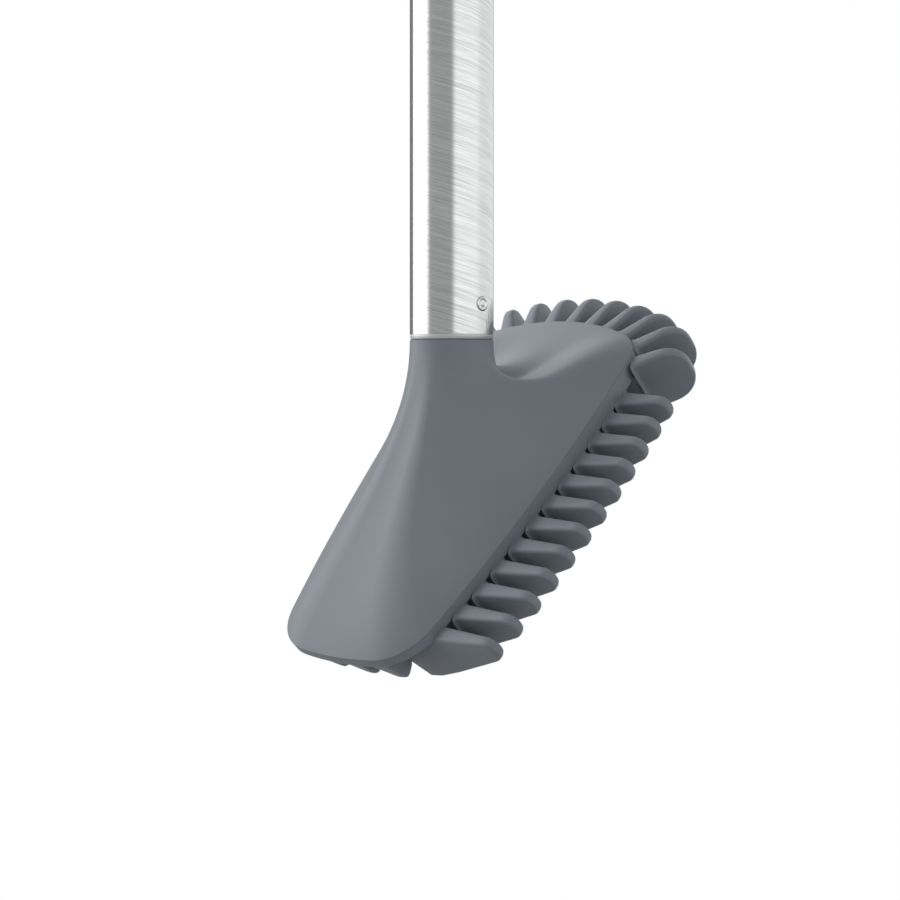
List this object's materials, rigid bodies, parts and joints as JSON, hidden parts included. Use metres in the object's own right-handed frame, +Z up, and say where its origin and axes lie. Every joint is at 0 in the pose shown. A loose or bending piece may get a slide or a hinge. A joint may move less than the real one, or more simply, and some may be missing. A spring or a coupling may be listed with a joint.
{
  "type": "toilet brush",
  "caption": "Toilet brush with a leaning silicone head, blade fins along one side and round the toe, screwed to a brushed steel tube handle.",
  "frame": {"origin": "middle of the flat top of the handle's end cap", "axes": "+Z up along the handle, +X towards the toe of the head, -Y towards the side with the row of fins"},
  "size_m": [0.0934, 0.0874, 0.3974],
  "materials": {
    "steel": "brushed",
    "stud_steel": "turned",
    "plastic": "matte",
    "seal": "matte",
    "silicone": "matte"
  },
  "bodies": {
    "handle": {"handle_tube": "steel", "end_cap": "steel", "cap_plug": "plastic", "socket_insert": "plastic", "lock_pin_near": "steel", "lock_pin_far": "steel"},
    "seal": {"seal_ring": "seal"},
    "head": {"threaded_stud": "stud_steel", "head_core": "plastic", "head_shell": "silicone", "fin_skirt": "silicone"}
  },
  "joints": [
    {"name": "head_travel", "type": "slide", "parent": "handle", "child": "seal", "axis": [0, 0, -1], "range_m": [0, 0.012]},
    {"name": "head_turn", "type": "hinge", "parent": "seal", "child": "head", "pos_m": [0, 0, -0.3216], "axis": [0, 0, -1], "range_deg": [0, 1440]}
  ],
  "couplings": [
    {"joint": "head_travel", "follows": "head_turn", "m_per_rad": 0.00047746}
  ]
}
